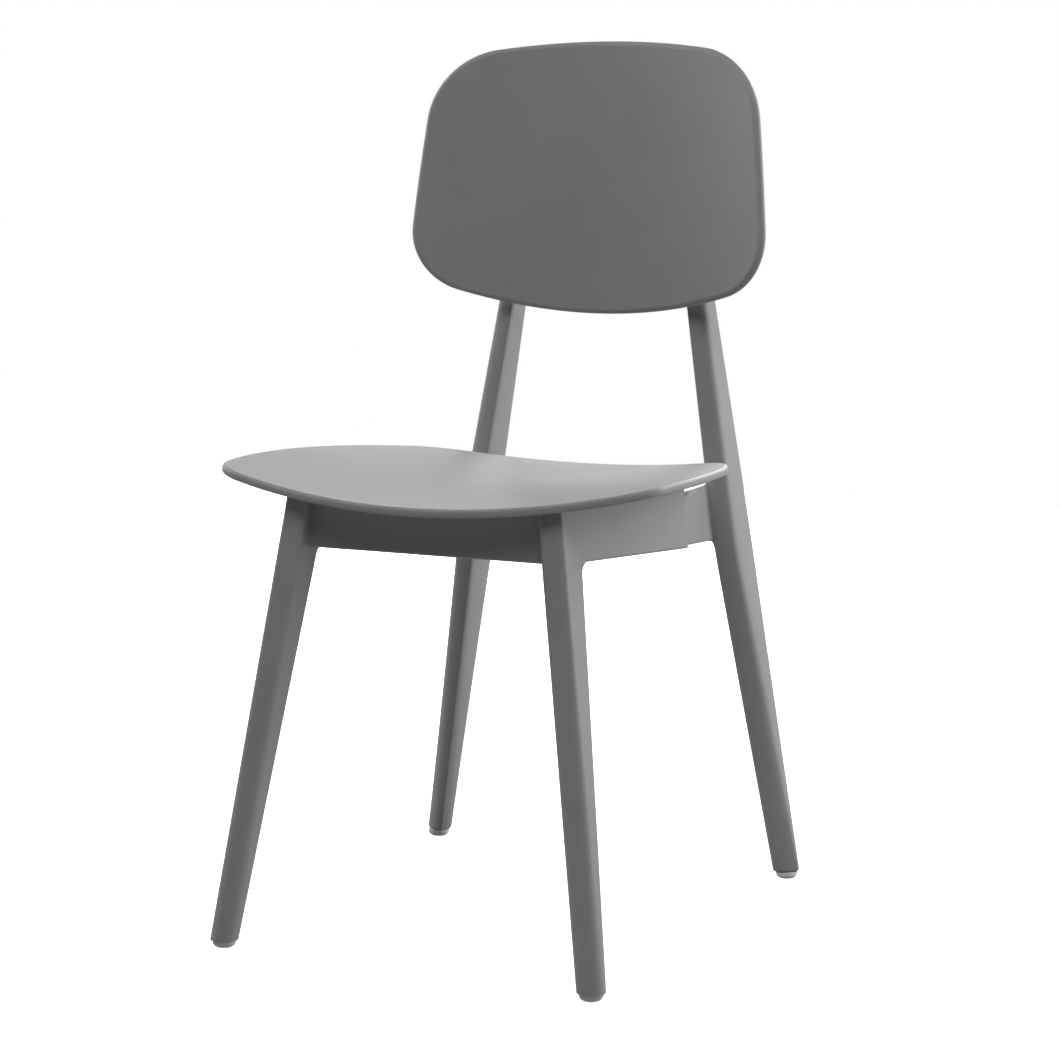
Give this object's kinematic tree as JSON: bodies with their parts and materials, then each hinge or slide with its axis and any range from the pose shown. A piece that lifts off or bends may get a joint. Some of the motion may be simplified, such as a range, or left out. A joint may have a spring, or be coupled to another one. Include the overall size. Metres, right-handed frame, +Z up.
{
  "type": "side chair",
  "caption": "Moulded plastic dining chair with a dished seat, a bowed back rest on two uprights and four splayed legs.",
  "frame": {"origin": "on the floor, midway between the four feet", "axes": "+Z up, +Y towards the back of the chair, +X towards the sitter's left"},
  "size_m": [0.4664, 0.4999, 0.867],
  "materials": {
    "shell": "fine satin texture",
    "frame": "fine satin texture",
    "glide": "smooth",
    "bracket": "satin",
    "steel": "zinc plated",
    "insert": "plain"
  },
  "bodies": {
    "root": {"seat_panel": "shell", "back_panel": "shell", "front_leg_left": "frame", "front_leg_right": "frame", "rear_leg_left": "frame", "rear_leg_right": "frame", "front_apron": "frame", "rear_apron": "frame", "back_screw_caps": "frame", "glide_front_left": "glide", "glide_front_right": "glide", "glide_rear_left": "glide", "glide_rear_right": "glide", "corner_bracket_front_left": "bracket", "corner_bracket_front_right": "bracket", "corner_bracket_rear_left": "bracket", "corner_bracket_rear_right": "bracket", "seat_screws": "steel", "frame_bolts": "steel", "back_screws": "steel", "bracket_screws": "steel", "frame_inserts": "insert"}
  },
  "joints": []
}
